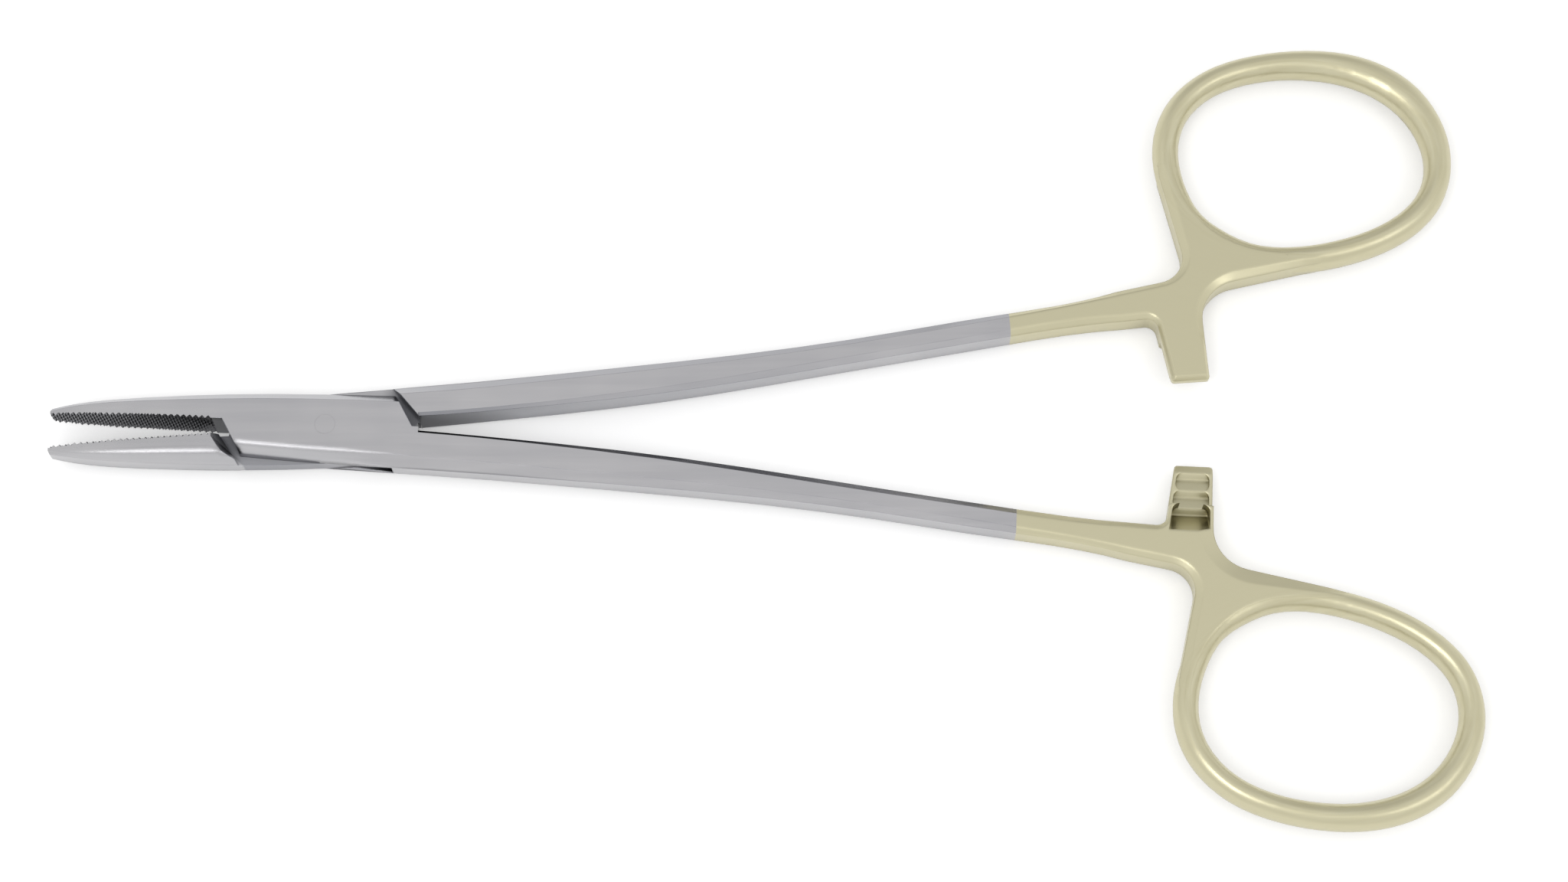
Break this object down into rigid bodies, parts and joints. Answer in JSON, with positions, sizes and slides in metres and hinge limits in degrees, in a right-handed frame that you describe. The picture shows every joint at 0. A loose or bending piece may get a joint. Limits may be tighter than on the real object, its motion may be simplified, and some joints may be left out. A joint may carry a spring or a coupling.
{
  "type": "surgical needle holder",
  "caption": "Straight box-lock needle holder with cross-hatched carbide jaw faces, a finger-ring ratchet and gold-coloured handles, stored slightly open.",
  "frame": {"origin": "pivot axis of the box lock, on the flat underside of the box", "axes": "+X from the pivot towards the finger rings, with the jaws along -X; +Y towards the ring of the tongue half; +Z along the pivot axis, up from the surface that the holder lies on"},
  "size_m": [0.1492, 0.0868, 0.0048],
  "materials": {
    "steel": "polished stainless steel; the handles are plated pale gold",
    "carbide": "dark sintered tungsten carbide with a ground cross-hatched face"
  },
  "bodies": {
    "box_half": {"box_half": "steel", "pivot_pin": "steel", "upper_jaw_insert": "carbide"},
    "tongue_half": {"tongue_half": "steel", "lower_jaw_insert": "carbide"}
  },
  "joints": [
    {"name": "box_lock", "type": "hinge", "parent": "box_half", "child": "tongue_half", "pos_m": [0, 0, 0.00239], "axis": [0, 0, 1], "range_deg": [-6.6, 30]}
  ]
}
